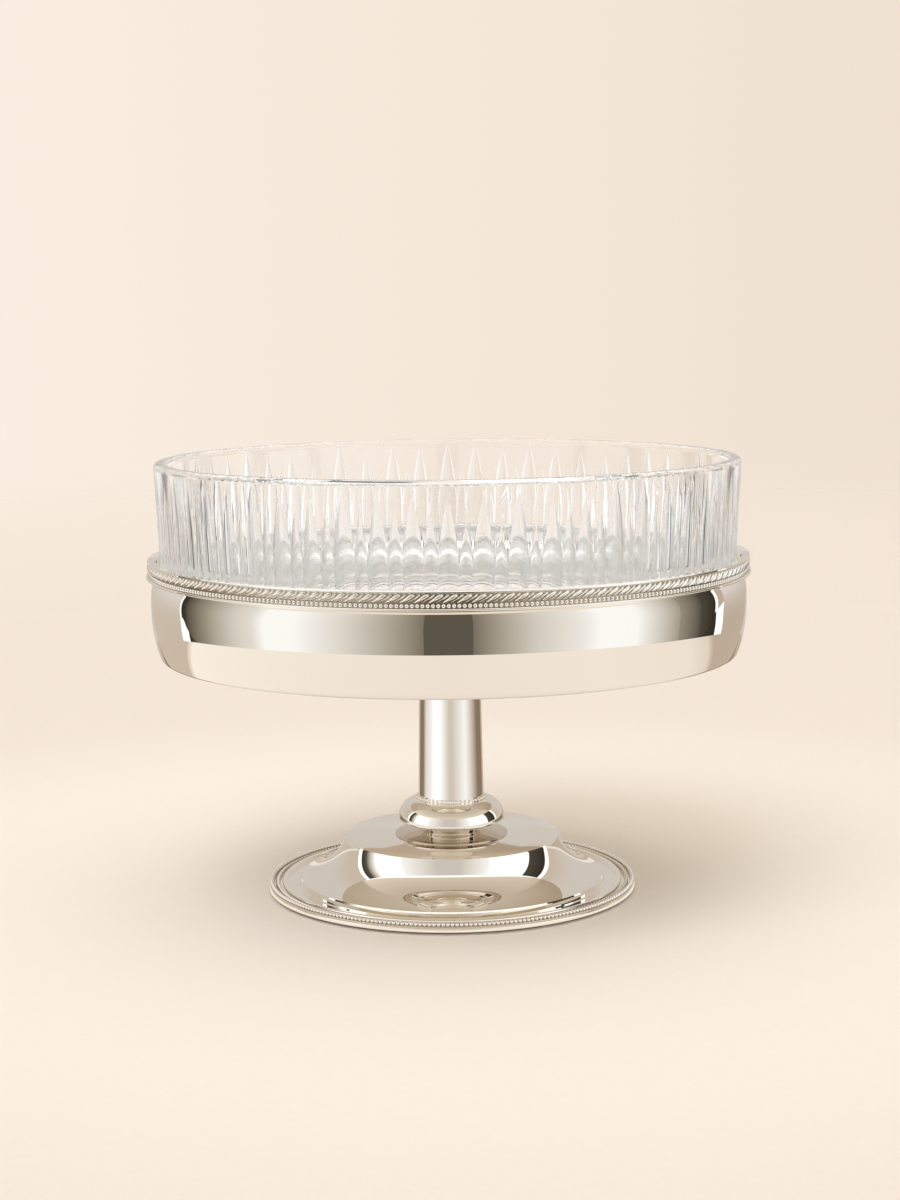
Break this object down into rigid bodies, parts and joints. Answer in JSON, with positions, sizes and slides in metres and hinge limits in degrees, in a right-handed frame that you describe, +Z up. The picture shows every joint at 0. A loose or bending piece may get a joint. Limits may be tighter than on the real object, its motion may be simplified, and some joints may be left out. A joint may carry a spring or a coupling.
{
  "type": "footed fruit bowl",
  "caption": "Round fruit bowl on a foot: a fluted cut crystal liner lifts out of a polished silver-plated bowl on a tubular stem, knop and stepped foot with gadroon and bead borders.",
  "frame": {"origin": "middle of the flat underside, on the surface that the bowl stands on", "axes": "+Z up along the turned axis; the front is towards -Y, though the bowl is the same from every side"},
  "size_m": [0.2512, 0.2512, 0.1825],
  "materials": {
    "polished_silver": "mirror-polished silver plate",
    "border_silver": "silver plate, polished on the high points",
    "turned_brass": "as turned",
    "fastener_steel": "bright zinc",
    "felt": "dark wool felt",
    "pad": "soft translucent ring",
    "crystal": "polished lead crystal, cut flutes"
  },
  "bodies": {
    "stand": {"base_felt": "felt", "foot_shell": "polished_silver", "foot_base_band": "polished_silver", "foot_bead_wire": "border_silver", "foot_reed_wire": "border_silver", "foot_fillet_wire": "border_silver", "knop_collar": "polished_silver", "knop": "polished_silver", "stem_tube": "polished_silver", "stem_base_ring": "polished_silver", "stem_bush": "turned_brass", "bowl_boss": "polished_silver", "tie_rod": "fastener_steel", "spreader_plate": "turned_brass", "flat_washer": "fastener_steel", "spring_washer": "fastener_steel", "hex_nut": "fastener_steel", "bowl_shell": "polished_silver", "gadroon_border": "border_silver", "bowl_bead_wire": "border_silver", "bowl_fillet_wire": "border_silver", "liner_pad": "pad"},
    "liner": {"crystal_liner": "crystal"}
  },
  "joints": [
    {"name": "liner_lift", "type": "slide", "parent": "stand", "child": "liner", "axis": [0, 0, 1], "range_m": [0, 0.12]}
  ]
}
